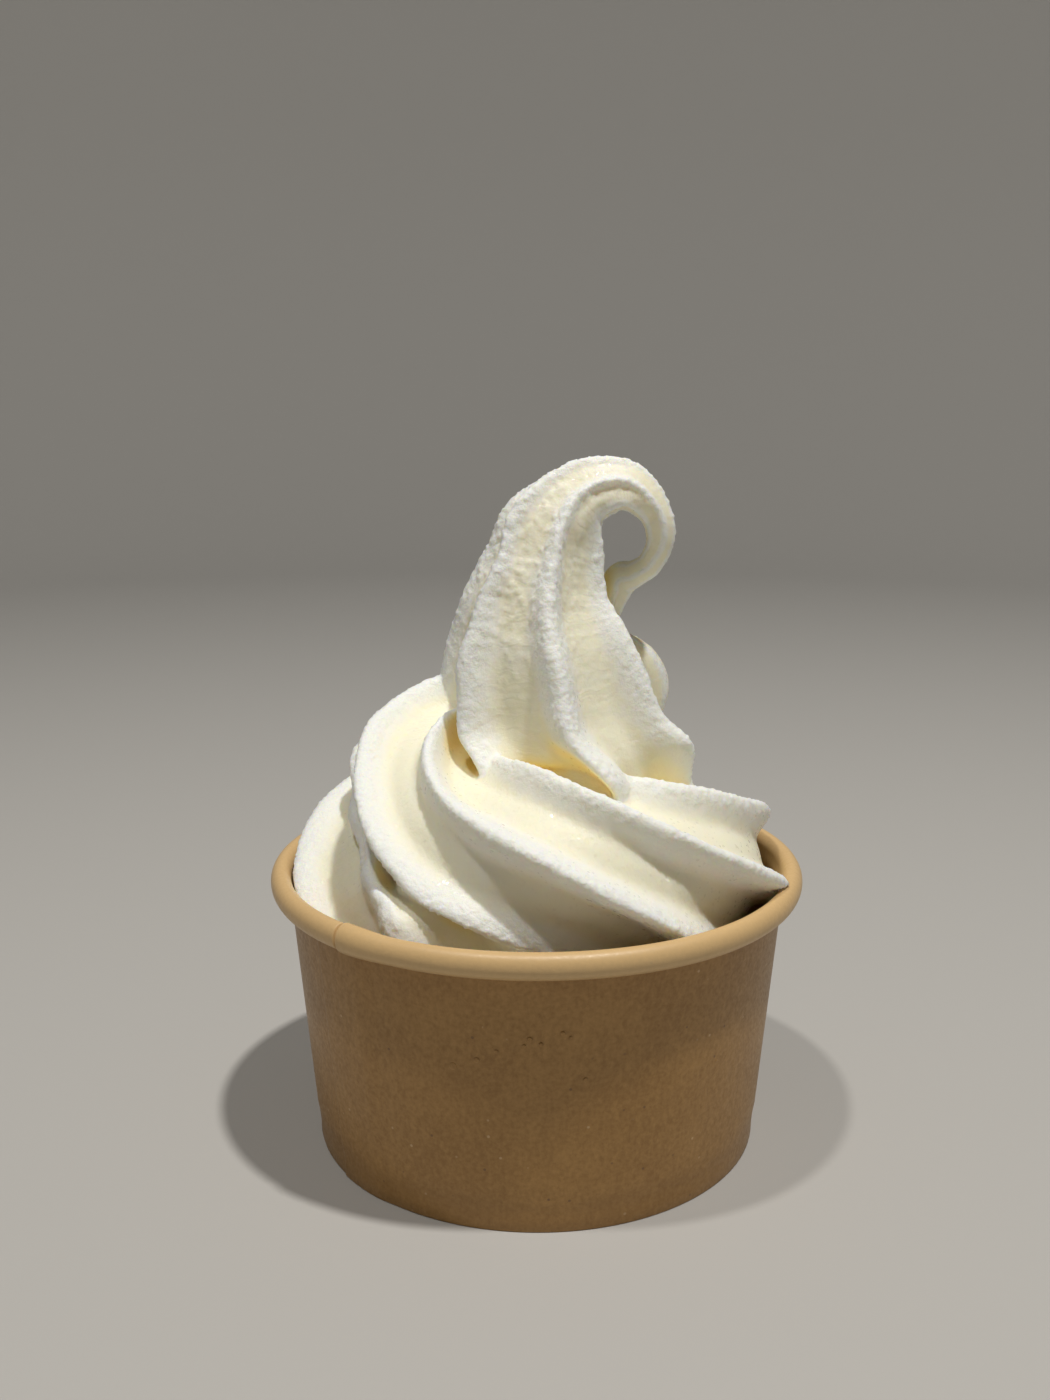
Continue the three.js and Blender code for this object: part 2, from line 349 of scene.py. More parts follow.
def kraftMaterial(look):
    material, tree, shader = newMaterial("kraftBoard")
    place = tree.nodes.new("ShaderNodeTexCoord").outputs["Object"]
    upright = put(tree, "ShaderNodeMapping", {"Vector": place, "Scale": (1, 1, 0.4)}).outputs[0]
    fibres = noiseAt(tree, upright, 0.6 / look["fibre"], 3.0, 0.6)
    mottle = noiseAt(tree, place, look["mottle"], 2.0, 0.6)
    clouds = noiseAt(tree, place, look["clouds"], 3.0)
    tone = total(tree, product(tree, fibres, 0.3), product(tree, mottle, 0.45), product(tree, clouds, 0.25))
    board = ramp(tree, tone, (0.38, look["dark"]), (0.62, look["light"]))
    spots = put(tree, "ShaderNodeTexVoronoi", {"Vector": place, "Scale": look["spots"]})
    lot = put(tree, "ShaderNodeSeparateColor", {"Color": spots.outputs["Color"]}).outputs
    small = remap(tree, spots.outputs["Distance"], 0.08, 0.2, 1.0, 0.0)
    isFleck = product(tree, small, remap(tree, lot[0], 0.94, 0.95, 0.0, 1.0, "LINEAR"))
    isPale = product(tree, small, remap(tree, lot[1], 0.93, 0.94, 0.0, 1.0, "LINEAR"))
    board = blendColours(tree, product(tree, isFleck, 0.75), board, look["fleck"])
    board = blendColours(tree, product(tree, isPale, 0.5), board, look["pale"])
    height = put(tree, "ShaderNodeSeparateXYZ", {"Vector": place}).outputs["Z"]
    edge = total(tree, height, product(tree, clouds, look["cloudLift"]))
    # painted shade on the hem band, its upper edge shifted by the patches
    paintedHemShade = remap(tree, edge, look["hemShadeFull"], look["hemShadeEnd"], 0.3, 0.0)
    board = blendColours(tree, paintedHemShade, board, look["hem"])
    # painted light on the rolled rim, rising with height
    paintedRimLight = remap(tree, height, look["rimLightStart"], look["rimLightFull"], 0.0, 0.7)
    board = blendColours(tree, paintedRimLight, board, look["rim"])
    tree.links.new(board, shader.inputs["Base Color"])
    rough = remap(tree, mottle, 0.3, 0.7, look["roughness"] + 0.08, look["roughness"] - 0.06, "LINEAR")
    tree.links.new(rough, shader.inputs["Roughness"])
    relief = total(tree, fibres, mottle)
    bump = put(tree, "ShaderNodeBump", {"Height": relief, "Strength": look["bumpStrength"],
                                        "Distance": look["bumpHeight"]})
    tree.links.new(bump.outputs[0], shader.inputs["Normal"])
    shader.inputs["IOR"].default_value = look["refraction"]
    return material


kraft = kraftMaterial(kraftLook)
print("materials made")


# Paper cup

cup = {
    "footRadius": 38 * mm,
    "throatRadius": 41.8 * mm,
    "throatHeight": 43.4 * mm,
    "paper": 0.45 * mm,
    "glueGap": 0.3 * mm,
    "rollRadius": 43.3 * mm,      # middle of the rolled rim
    "rollHeight": 45.8 * mm,
    "rollReach": 1.7 * mm,
    "rollRise": 2.1 * mm,
    "rollTuck": -120,             # degrees, where the roll ends under itself
    "hemHeight": 6.5 * mm,
    "discHeight": 8 * mm,
    "hemPress": 0.16 * mm,        # the hem's band is pressed in by this much
    "footEdge": 0.3 * mm,         # rounding where the wall is folded in at the foot
    "seamEdge": -145.5,           # compass degrees of the outer sheet's edge on the wall
    "seamEnd": -132.5,            # and of the inner sheet's edge, where the roll has its notch
    "seamStep": 0.28 * mm,
    "seamFade": 7,                # degrees past its end over which the lap sinks into the wall
    "rollFade": (2, 14),          # and the same on the roll, from and to
    "notchWidth": 0.42,           # degrees
    "notchDepth": 1.1 * mm,
    "notchSpan": 1.2,             # degrees to each side of the notch with extra rows of points
    "notchRows": 25,
    "wave": 0.12 * mm,            # the cup is never quite round
    "sides": 720,
    "wallRows": 22,
    "liningRows": 24,
    "rollRows": (18, 32),         # inside and outside of the roll
    "discRows": 16,
    "discMiddle": 1 * mm,         # one face closes each side of the disc inside this radius
    "blisters": [                 # compass degrees, height and radius in mm
        (-108.3, 28.0, 0.62), (-113.7, 26.6, 0.4), (-110.6, 27.2, 0.3), (-103.0, 29.5, 0.45),
        (-98.8, 31.2, 0.3), (-91.8, 33.4, 0.4), (-93.0, 32.3, 0.28), (-89.5, 32.6, 0.3),
        (-85.0, 34.3, 0.35), (-83.4, 33.6, 0.25), (-80.0, 26.4, 0.35), (-46.0, 24.0, 0.3),
    ],
    "blisterRise": 0.12,          # height of a blister as a share of its radius
    "blisterLean": -0.09,         # the wall leans out, so a blister looks down a little
}


def wallRadius(height):
    return cup["footRadius"] + (cup["throatRadius"] - cup["footRadius"]) * height / cup["throatHeight"]


def rollArc(inset, start, end, steps):
    angles = np.radians(np.linspace(start, end, steps + 1))
    return [(cup["rollRadius"] + (cup["rollReach"] - inset) * math.cos(a),
             cup["rollHeight"] + (cup["rollRise"] - inset) * math.sin(a)) for a in angles]


def wrapDegrees(angle):  # the same heading between -180 and 180
    return (angle + 180) % 360 - 180


def cupShape(part):  # adds the side seam, the rim's notch, the pressed hem and a slight unevenness
    part = np.array(part)[None]

    def shape(radius, height, angle):
        fromEdge = wrapDegrees(angle - cup["seamEdge"])
        fromEnd = wrapDegrees(angle - cup["seamEnd"])
        overlap = smooth(0, 0.5, fromEdge) * (1 - smooth(0, cup["seamFade"], fromEnd)) * (fromEdge < 60)
        onRoll = smooth(0, 0.4, fromEnd) * (1 - smooth(*cup["rollFade"], fromEnd))
        notch = np.exp(-(fromEnd / cup["notchWidth"]) ** 4)
        belowHem = 1 - smooth(cup["hemHeight"] - 1.4 * mm, cup["hemHeight"] + 0.1 * mm, height)
        press = belowHem * smooth(0, 0.8 * mm, height)
        uneven = cup["wave"] * (np.sin(np.radians(angle * 2 + 40)) + 0.6 * np.sin(np.radians(angle * 5)))
        uneven = uneven * smooth(4 * mm, 40 * mm, height)
        swell = (part == "roll") * (onRoll * cup["seamStep"] - notch * cup["notchDepth"])
        outward = np.stack([radius - cup["rollRadius"], height - cup["rollHeight"]])
        outward = outward / (np.linalg.norm(outward, axis=0) + 1e-9)
        radius = radius + uneven + (part == "wall") * (overlap * cup["seamStep"] - press * cup["hemPress"])
        return radius + swell * outward[0], height + swell * outward[1]

    return shape


def buildCupWall():
    hemReach = 3 * cup["paper"] + 2 * cup["glueGap"]
    soft = cup["footEdge"]
    wall = [(cup["footRadius"] - soft, 0), (cup["footRadius"] - soft * 0.3, soft * 0.3)]
    wall += [(wallRadius(h), h) for h in np.linspace(soft, cup["throatHeight"], cup["wallRows"])]
    rowsInside, rowsOutside = cup["rollRows"]
    inside = rollArc(cup["paper"], 180, cup["rollTuck"], rowsInside)
    outside = rollArc(0, cup["rollTuck"], 180, rowsOutside)
    lining = [(wallRadius(h) - cup["paper"], h)
              for h in np.linspace(cup["throatHeight"], cup["hemHeight"], cup["liningRows"])]
    hem = [
        (cup["footRadius"] - cup["paper"], cup["paper"]),
        (cup["footRadius"] - hemReach + cup["paper"], cup["paper"]),
        (wallRadius(cup["hemHeight"]) - hemReach + cup["paper"], cup["hemHeight"]),
        (wallRadius(cup["hemHeight"]) - hemReach, cup["hemHeight"]),
        (cup["footRadius"] - hemReach, 0),
    ]
    outline = wall + inside + outside + lining + hem
    nearNotch = cup["seamEnd"] + 360 + np.linspace(-cup["notchSpan"], cup["notchSpan"], cup["notchRows"])
    turns = np.unique(np.round(np.concatenate([evenly(cup["sides"]), nearNotch]), 2))
    part = ["wall"] * len(wall) + ["inside"] * len(inside) + ["roll"] * len(outside) + ["lining"] * (
        len(lining) + len(hem))
    return addPiece("cupWall", meshFrom("cupWall", *spin(outline, turns, cupShape(part))))


def buildCupBottom():
    gap = cup["paper"] + cup["glueGap"]
    paper = cup["paper"]
    disc = cup["discHeight"]
    edge = wallRadius(disc) - gap
    low = wallRadius(gap) - gap
    middle = cup["discMiddle"]
    under = [(r, disc) for r in np.linspace(middle, edge - paper - 1 * mm, cup["discRows"])]
    side = [
        (edge - paper - 0.3 * mm, disc - 0.15 * mm),
        (edge - paper, disc - 1 * mm),
        (low - paper, gap),
        (low, gap),
        (edge, disc - 0.6 * mm),
        (edge - 0.3 * mm, disc + paper - 0.1 * mm),
    ]
    over = [(r, disc + paper) for r in np.linspace(edge - 1.2 * mm, middle, cup["discRows"])]
    outline = under + side + over
    sides = cup["sides"] // 3
    piece = addPiece("cupBottom", meshFrom("cupBottom", *spin(outline, evenly(sides))))
    mesh = bmesh.new()
    mesh.from_mesh(piece.data)
    mesh.verts.ensure_lookup_table()
    rows = len(outline)
    for row in (0, rows - 1):  # closes the disc round its middle
        mesh.faces.new([mesh.verts[i * rows + row] for i in range(sides)])
    inner = [face for face in mesh.faces if len(face.verts) == 4
             and all(math.hypot(v.co.x, v.co.y) < middle * 1.01 for v in face.verts)]
    bmesh.ops.delete(mesh, geom=inner, context="FACES")
    mesh.to_mesh(piece.data)
    mesh.free()
    return piece


def tidy(piece):  # joins points at the same place and turns every face outward
    mesh = bmesh.new()
    mesh.from_mesh(piece.data)
    bmesh.ops.remove_doubles(mesh, verts=mesh.verts, dist=0.001 * mm)
    bmesh.ops.recalc_face_normals(mesh, faces=mesh.faces)
    mesh.to_mesh(piece.data)
    mesh.free()
    return piece


def blisterTree():  # a flat dome at every point
    tree, given, result = newTree("blisters", [("Rise", "Float", 0.3), ("Material", "Material", None)])
    ball = put(tree, "GeometryNodeMeshIcoSphere", {"Radius": 1.0, "Subdivisions": 3}).outputs[0]
    size = readField(tree, "size")
    outward = readField(tree, "outward", "FLOAT_VECTOR")
    turn = put(tree, "FunctionNodeAlignRotationToVector", {"Vector": outward}, axis="Z").outputs[0]
    flat = combine(tree, size, size, product(tree, size, given["Rise"]))
    domes = put(tree, "GeometryNodeInstanceOnPoints", {"Points": given["Geometry"], "Instance": ball,
                                                       "Rotation": turn, "Scale": flat}).outputs[0]
    finishTree(tree, domes, given["Material"], result)
    return tree


def buildBlisters():
    mesh = bpy.data.meshes.new("blisters")
    turns, heights, sizes = np.array(cup["blisters"]).T
    turns = np.radians(turns)
    outward = np.stack([np.cos(turns), np.sin(turns), cup["blisterLean"] + 0 * turns], 1)
    radius = wallRadius(heights * mm)
    places = np.stack([radius * np.cos(turns), radius * np.sin(turns), heights * mm], 1)
    mesh.from_pydata([tuple(place) for place in places], [], [])
    mesh.attributes.new("size", "FLOAT", "POINT").data.foreach_set("value", sizes * mm)
    mesh.attributes.new("outward", "FLOAT_VECTOR", "POINT").data.foreach_set("vector", outward.ravel())
    piece = addPiece("blisters", mesh)
    grow(piece, blisterTree(), {"Rise": cup["blisterRise"], "Material": kraft})
    return piece


def joinMeshes(name, pieces):  # one piece from several, which are removed
    mesh = bmesh.new()
    for piece in pieces:
        mesh.from_mesh(piece.data)
    joined = bpy.data.meshes.new(name)
    mesh.to_mesh(joined)
    mesh.free()
    for piece in pieces:
        bpy.data.objects.remove(piece)
    return addPiece(name, joined)


cupWall = joinMeshes("cupWall", (tidy(buildCupWall()), buildBlisters()))
cupBottom = tidy(buildCupBottom())
for piece in (cupWall, cupBottom):
    piece.data.materials.append(kraft)
    piece.data.shade_smooth()
print("paper cup made")


# Soft serve: the rope in the cup and the peak on it follow listed stations

star = {
    "lobes": 6,
    "perLobe": 24,            # points round one lobe
    "sharpness": 3.2,
    "wander": 0.05,           # how far a ridge strays, as a share of the rope's half width
}

rope = {
    "depth": 0.28,
    "step": 1.5,              # degrees round the cup between two sections
    "seed": 3,
    "stations": [             # at (degrees), run, level, wide, tall (mm), lobe (degrees)
        (-150, 21, 27, 19, 17, 12),
        (-90, 22, 33, 19, 17, 18),
        (-45, 22, 39, 19, 17.5, 25),
        (0, 23, 44.5, 19, 17.5, 20),
        (45, 23, 46.5, 19, 17.5, 9),
        (90, 22.6, 45.5, 19, 17, -5),
        (140, 23.4, 44.5, 19, 17, -17),
        (185, 24.6, 46.5, 19.2, 16.5, -21),
        (225, 23.7, 50, 18.6, 16.4, -17),
        (265, 21.8, 54, 18, 16, -9),
        (305, 19.6, 54.5, 17.3, 16, -6),
        (345, 17.2, 58.8, 17.6, 16.8, 0),
        (385, 14.4, 61.3, 17.8, 17.5, 0),
        (420, 11, 62, 17, 17, 0),
        (460, 8, 64, 14, 15, 0),
        (500, 6, 66, 10, 11, 0),
    ],
    "nudges": [               # x, y, z, reach, then the shift along x, y, z (mm)
        (-25, -27, 49, 8, 1.5, -0.3, 0.3),     # short ridge low at the left
        (-17, -26.5, 46.5, 10, -2.5, -5.5, 3),  # valley beside it
        (-12, -31.5, 46.5, 8, 0, -1.6, 1),
        (-22.5, -25.5, 51, 5, -0.8, -2.2, 0.4),
        (-25.3, -20.5, 53, 5, -0.6, -2.2, 0.4),
        (-27.5, -20, 54.5, 6, 1.6, 1.8, -0.3),
        (-32, -6, 58, 11, 2.6, 0.3, 1),        # upper turn's ridge, where it goes round to the back
        (-30.5, -13, 53, 8, 2.5, 1, 0),
        (-33, 0, 62, 8, 1.8, 0, -0.4),
    ],
}

peak = {
    "sections": 260,
    "levelUntil": 2,          # sections are level up to this station
    "squareFrom": 5,          # and square to the middle line from this one
    "archFoot": 61.5 * mm,    # the ridges reach down to here
    "archRise": 6.3 * mm,     # and the valley in front ends this much higher
    "archTuck": 0.4,          # how far it draws in below that
    "archHeading": -22,       # degrees from the front, where the gap is highest
    "archSpread": (0.6, 0.92),  # cosines of the angles from there, where it starts and is full
    "seed": 8,
    "stations": [             # x, y, z, half (mm), depth, twist (degrees)
        (6, 0, 56, 20, 0.3, 26),
        (4.8, -0.5, 63, 21.2, 0.32, 21),
        (3.8, -0.5, 68.5, 21.7, 0.32, 14),
        (1.9, 0, 74, 19.7, 0.3, 8),
        (0.3, 0, 83.5, 17.1, 0.28, 7),
        (-0.1, 0, 92, 13.6, 0.26, 8),
        (1, 0, 98.5, 11, 0.25, 8),
        (3.2, 0, 104.5, 9.1, 0.25, 3),
        (7.8, 0, 109.6, 6.2, 0.19, -9),
        (14.2, 0, 110.8, 4.5, 0.17, -14),
        (18.9, 0, 107.1, 3.1, 0.12, -12),
        (20.2, 0.5, 102.4, 2.5, 0.07, -8),
        (18.8, 1.5, 98.2, 2.2, 0.04, 3),
        (16.3, 3, 96, 2.3, 0, 3),
        (13.9, 4.5, 94.6, 3, 0, 3),
        (12.4, 6, 89.5, 2.2, 0, 3),
        (13, 6.5, 86, 1.4, 0, 3),
        (18, 7.5, 80, 3.2, 0, 3),
        (18.6, 9, 74.5, 4.2, 0, 3),
        (14, 9, 67, 4.5, 0, 3),
    ],
    "nudges": [               # x, y, z, reach, then the shift along x, y, z (mm)
        (-10.5, -11, 76, 14, 1.2, 0, 0),       # second ridge, seen more from its side
        (-14, 4, 78, 12, -0.6, 0, 0),
        (6, -17, 64.5, 9, 3.4, 0, 0.4),        # foot of the third ridge
        (11.5, -16.5, 65.5, 6, 1.5, -1.5, 0),
        (-11, -14, 66.5, 7, 2, -0.5, -0.3),    # foot of the second
        (24, -7, 67, 8, 0.8, -0.6, 1.6),       # flared lip of the fourth
        (-11, -8.5, 90, 9, 1.4, 0, 0),         # second ridge higher up, clear of the first
        (-9.5, -6, 99, 9, 1.7, -0.3, 0),
        (-9, 1.7, 98.5, 10, 1.1, 0, 0),
        (2.5, -16, 82, 12, 0.8, 0, 0),         # third ridge
        (-4, -14, 69, 12, 0, 1.2, 0),          # hollow below the belly
        (16.2, -2.8, 107.6, 3.6, 0, -0.55, 0.1),  # lip round the top of the hole
        (14.2, -3.1, 108.5, 3.6, 0, -0.7, 0.1),
        (12.2, -3.5, 108.8, 3.6, 0, -0.7, 0.1),
        (10.2, -3.9, 108.4, 3.6, 0, -0.7, 0.1),
        (8.4, -4.6, 107.2, 3.6, 0, -0.7, 0.1),
        (7.2, -5.3, 105.4, 3.6, 0, -0.6, 0),
        (6.6, -5.7, 103.4, 3.6, 0, -0.5, 0),
        (13.8, -3.6, 110.8, 2.4, 0, 0.4, 0),  # groove above that lip
        (11.6, -4.1, 111, 2.4, 0, 0.4, 0),
        (9.6, -4.6, 110.2, 2.4, 0, 0.4, 0),
        (9.6, -1.5, 101, 5, 0.9, 0, 0),        # left side of the hole
    ],
}

filling = {
    "gap": 0.3 * mm,          # between the paper and the filling's plain sides and foot
    "clearance": 0.25 * mm,   # least distance between the swirl and the paper
    "level": 39 * mm,
    "core": [(0, 30), (10, 30), (9, 44), (8, 60), (4, 66), (0, 67)],   # radius and height in mm
    "cut": 33 * mm,           # below this the filling has plain sides
    "cutRows": 5,             # rows of points down those sides
    "voxel": 0.42 * mm,
    "soften": 1,              # rounds of smoothing after the turns are fused
    "triangles": 190000,      # the finished skin is thinned out to this many
}

frost = {
    "Bead Size": 1.25 * mm,       # coarse grains on the peak
    "Bead Height": 0.25 * mm,
    "Grain Size": 0.8 * mm,       # fine grains on every ridge
    "Grain Height": 0.21 * mm,
    "Lump Size": 3.2 * mm,
    "Lump Height": 0.16 * mm,
    "Sag Size": 15 * mm,
    "Sag Height": 0.5 * mm,
    "Ripple Size": 1.6 * mm,
    "Ripple Height": 0.07 * mm,
    "Pocket Reach": 20 * mm,
}

frostPlaces = {
    "rays": 24,                   # sent from every point to find the deep pockets
    "beadsFrom": 72 * mm,         # heights between which the coarse grains set in
    "beadsFull": 94 * mm,
    "beadsThin": 1 * mm,          # to the right of this they thin out
    "beadsFewest": 13 * mm,
    "plainBelow": 34 * mm,        # down in the cup there is no frost
    "frostAbove": 38 * mm,        # and all of it from here up
}


def throughStations(places, values, at):  # a smooth curve, with its neighbours' mean slope at each station
    places = np.array(places, float)
    values = np.array(values, float)
    step = np.diff(places)[:, None]
    slope = np.diff(values, axis=0) / step
    tangent = np.vstack([slope[:1], (slope[:-1] + slope[1:]) / 2, slope[-1:]])
    i = np.clip(np.searchsorted(places, at, side="right") - 1, 0, len(places) - 2)
    t = ((at - places[i]) / step[i, 0])[:, None]
    return ((2 * t**3 - 3 * t**2 + 1) * values[i] + (t**3 - 2 * t**2 + t) * step[i] * tangent[i]
            + (-2 * t**3 + 3 * t**2) * values[i + 1] + (t**3 - t**2) * step[i] * tangent[i + 1])


def spine(name, middle, across, upright, turn, depth):  # a line that carries the star's frame
    mesh = bpy.data.meshes.new(name)
    mesh.from_pydata([tuple(point) for point in middle], [(i, i + 1) for i in range(len(middle) - 1)], [])
    steps = np.linalg.norm(np.diff(middle + across * 0.5, axis=0), axis=1)
    along = np.concatenate([[0], np.cumsum(steps)])
    for label, values in (("middle", middle), ("across", across), ("upright", upright)):
        mesh.attributes.new(label, "FLOAT_VECTOR", "POINT").data.foreach_set("vector", values.ravel())
    for label, values in (("turn", turn), ("depth", depth), ("along", along)):
        mesh.attributes.new(label, "FLOAT", "POINT").data.foreach_set("value", values)
    return addPiece(name, mesh)


def ropeSpine():
    table = np.array(rope["stations"], float)
    at = np.arange(table[0, 0], table[-1, 0] + 0.1, rope["step"])
    run, level, wide, tall, lobe = throughStations(table[:, 0], table[:, 1:], at).T
    heading = np.radians(180 - at)
    outward = np.stack([np.cos(heading), np.sin(heading), 0 * at], 1)
    up = np.stack([0 * at, 0 * at, 1 + 0 * at], 1)
    middle = (outward * run[:, None] + up * level[:, None]) * mm
    return spine("ropeSpine", middle, outward * wide[:, None] * mm, up * tall[:, None] * mm,
                 np.radians(lobe + at - 180), 0 * at + rope["depth"])


def peakSpine():
    table = np.array(peak["stations"], float)
    at = np.linspace(0, len(table) - 1, peak["sections"])
    x, y, z, half, depth, twist = throughStations(np.arange(len(table)), table, at).T
    middle = np.stack([x, y, z], 1) * mm
    along = np.gradient(middle, axis=0)
    along /= np.linalg.norm(along, axis=1)[:, None]
    square = smooth(peak["levelUntil"], peak["squareFrom"], at)[:, None]
    along = np.array([[0, 0, 1]]) * (1 - square) + along * square
    side = np.cross(along, np.array([[0, -1, 0]]))
    side /= np.linalg.norm(side, axis=1)[:, None]
    forward = np.cross(side, along)
    forward /= np.linalg.norm(forward, axis=1)[:, None]
    half = half[:, None] * mm
    return spine("peakSpine", middle, forward * half, side * half, np.radians(twist), np.clip(depth, 0, 1))


def starTree():  # sweeps the nozzle's star along a spine, with a ridge at every lobe
    tree, given, result = newTree("starRope", [
        ("Lobes", "Int", 6),
        ("Points per Lobe", "Int", 24),
        ("Sharpness", "Float", 2.6),
        ("Wander", "Float", 0.05),
        ("Arch Foot", "Float", 0.0),
        ("Arch Rise", "Float", 0.0),
        ("Arch Tuck", "Float", 0.0),
        ("Arch Heading", "Float", 0.0),
        ("Seed", "Int", 3),
        ("Material", "Material", None),
    ])
    count = product(tree, given["Lobes"], given["Points per Lobe"])
    ring = put(tree, "GeometryNodeCurvePrimitiveCircle", {"Resolution": count, "Radius": 0.01}).outputs[0]
    index = tree.nodes.new("GeometryNodeInputIndex").outputs[0]
    ring = storeField(tree, ring, "around", calc(tree, "DIVIDE", product(tree, index, 2 * math.pi), count))
    line = put(tree, "GeometryNodeMeshToCurve", {"Mesh": given["Geometry"]}).outputs[0]
    skin = put(tree, "GeometryNodeCurveToMesh", {"Curve": line, "Profile Curve": ring,
                                                 "Fill Caps": True}).outputs[0]
    around = readField(tree, "around")
    wave = total(tree, product(tree, calc(tree, "COSINE", product(tree, around, given["Lobes"])), 0.5), 0.5)
    crest = calc(tree, "POWER", wave, given["Sharpness"])
    skin = storeField(tree, skin, "crest", crest)
    share = product(tree, calc(tree, "DIVIDE", around, 2 * math.pi), given["Lobes"])
    lobe = calc(tree, "MODULO", calc(tree, "ROUND", share), given["Lobes"])
    onward = product(tree, readField(tree, "along"), 90.0)
    spot = combine(tree, onward, product(tree, lobe, 7.3), given["Seed"])
    stray = product(tree, calc(tree, "SUBTRACT", noiseAt(tree, spot, 1.0, 1.0), 0.5), given["Wander"], wave)
    valley = calc(tree, "SUBTRACT", 1.0, crest)
    reach = total(tree, 1.0, product(tree, readField(tree, "depth"), valley, -1.0), stray)
    middle = readField(tree, "middle", "FLOAT_VECTOR")
    height = put(tree, "ShaderNodeSeparateXYZ", {"Vector": middle}).outputs["Z"]
    angle = total(tree, around, readField(tree, "turn"))
    ahead = calc(tree, "COSINE", calc(tree, "SUBTRACT", angle, given["Arch Heading"]))
    arch = product(tree, given["Arch Rise"], valley, remap(tree, ahead, *peak["archSpread"], 0.0, 1.0))
    below = calc(tree, "SUBTRACT", total(tree, given["Arch Foot"], arch), height)
    tuck = remap(tree, below, 0.0, 3 * mm, 0.0, given["Arch Tuck"])
    reach = product(tree, reach, calc(tree, "SUBTRACT", 1.0, tuck))
    sideways = stretch(tree, readField(tree, "across", "FLOAT_VECTOR"),
                       product(tree, reach, calc(tree, "COSINE", angle)))
    upward = stretch(tree, readField(tree, "upright", "FLOAT_VECTOR"),
                     product(tree, reach, calc(tree, "SINE", angle)))
    where = arrow(tree, "ADD", middle, arrow(tree, "ADD", sideways, upward))
    skin = put(tree, "GeometryNodeSetPosition", {"Geometry": skin, "Position": where}).outputs[0]
    finishTree(tree, skin, given["Material"], result)
    return tree


def spreadDirections(count):  # evenly spread over a ball
    for i in range(count):
        z = 1 - (2 * i + 1) / count
        turn = i * math.pi * (3 - math.sqrt(5))
        flat = math.sqrt(1 - z * z)
        yield flat * math.cos(turn), flat * math.sin(turn), z


def frostTree():  # marks the ridges and the deep pockets on the fused skin and roughens it with frost
    tree, given, result = newTree("frostedSkin", [
        ("Ropes", "Object", None),
        *[(name, "Float", size) for name, size in frost.items()],
        ("Material", "Material", None),
    ])
    source = put(tree, "GeometryNodeObjectInfo", {"Object": given["Ropes"]}).outputs["Geometry"]
    skin = given["Geometry"]
    for name in ("crest", "along"):
        near = put(tree, "GeometryNodeSampleNearestSurface", {"Mesh": source, "Value": readField(tree, name)})
        skin = storeField(tree, skin, name, near.outputs[0])
    place = tree.nodes.new("GeometryNodeInputPosition").outputs[0]
    normal = tree.nodes.new("GeometryNodeInputNormal").outputs[0]
    start = arrow(tree, "ADD", place, stretch(tree, normal, 0.5 * mm))
    hits = 0.0
    for direction in spreadDirections(frostPlaces["rays"]):
        aim = arrow(tree, "NORMALIZE", arrow(tree, "ADD", normal, direction))
        ray = put(tree, "GeometryNodeRaycast", {"Target Geometry": skin, "Source Position": start,
                                                "Ray Direction": aim, "Ray Length": given["Pocket Reach"]})
        hits = calc(tree, "ADD", hits, ray.outputs["Is Hit"])
    share = calc(tree, "DIVIDE", hits, float(frostPlaces["rays"]))
    blurred = put(tree, "GeometryNodeBlurAttribute", {"Value": share, "Iterations": 6}).outputs[0]
    # the share of rays that hit is kept as pocket: how shut in a point is, which the cream material paints as
    # glow and shade
    skin = storeField(tree, skin, "pocket", blurred)
    crest, along, pocket = (readField(tree, name) for name in ("crest", "along", "pocket"))

    def relief(name, spot, detail):
        wave = calc(tree, "SUBTRACT", noiseAt(tree, spot, 1.0, detail), 0.5)
        return product(tree, wave, given[name + " Height"], 2.0)

    def beads(name, low):  # grains that stand out from the skin
        return product(tree, remap(tree, noiseAt(tree, scaled(name), 1.0, 1.0), low, 0.72, 0.0, 1.0),
                       given[name + " Height"])

    def scaled(name):
        return stretch(tree, place, calc(tree, "DIVIDE", 1.0, given[name + " Size"]))

    stripes = combine(tree, calc(tree, "DIVIDE", along, given["Ripple Size"]), product(tree, crest, 1.5),
                      product(tree, noiseAt(tree, place, creamLook["sway"], 0.0), 5.0))
    spot = put(tree, "ShaderNodeSeparateXYZ", {"Vector": place}).outputs
    height = spot["Z"]
    bare = remap(tree, pocket, 0.3, 0.55, 1.0, 0.1)
    places = frostPlaces
    onPeak = product(tree, remap(tree, height, places["beadsFrom"], places["beadsFull"], 0.0, 1.0),
                     remap(tree, spot["X"], places["beadsThin"], places["beadsFewest"], 1.0, 0.25))
    edge = remap(tree, crest, 0.3, 0.8, 0.0, 1.0)
    offRidges = total(tree, 1.0, product(tree, edge, -0.5))
    rise = total(tree,
                 product(tree, beads("Bead", 0.47), bare, onPeak, offRidges),
                 product(tree, beads("Grain", 0.42), bare, total(tree, 0.25, product(tree, edge, 0.75))),
                 product(tree, relief("Lump", scaled("Lump"), 2.0), bare, total(tree, 0.4, onPeak)),
                 relief("Sag", scaled("Sag"), 1.0),
                 product(tree, relief("Ripple", stripes, 1.0), remap(tree, crest, 0.1, 0.6, 1.0, 0.0)))
    rise = product(tree, rise, remap(tree, height, places["plainBelow"], places["frostAbove"], 0.0, 1.0))
    skin = put(tree, "GeometryNodeSetPosition", {"Geometry": skin,
                                                 "Offset": stretch(tree, normal, rise)}).outputs[0]
    finishTree(tree, skin, given["Material"], result)
    return tree


def nudged(points, nudges):  # shifts the points near each place, less the farther they are
    for x, y, z, reach, *shift in nudges:
        away = np.linalg.norm(points - np.array([x, y, z]) * mm, axis=1) / (reach * mm)
        points = points + smooth(1, 0, away)[:, None] * np.array(shift) * mm
    return points


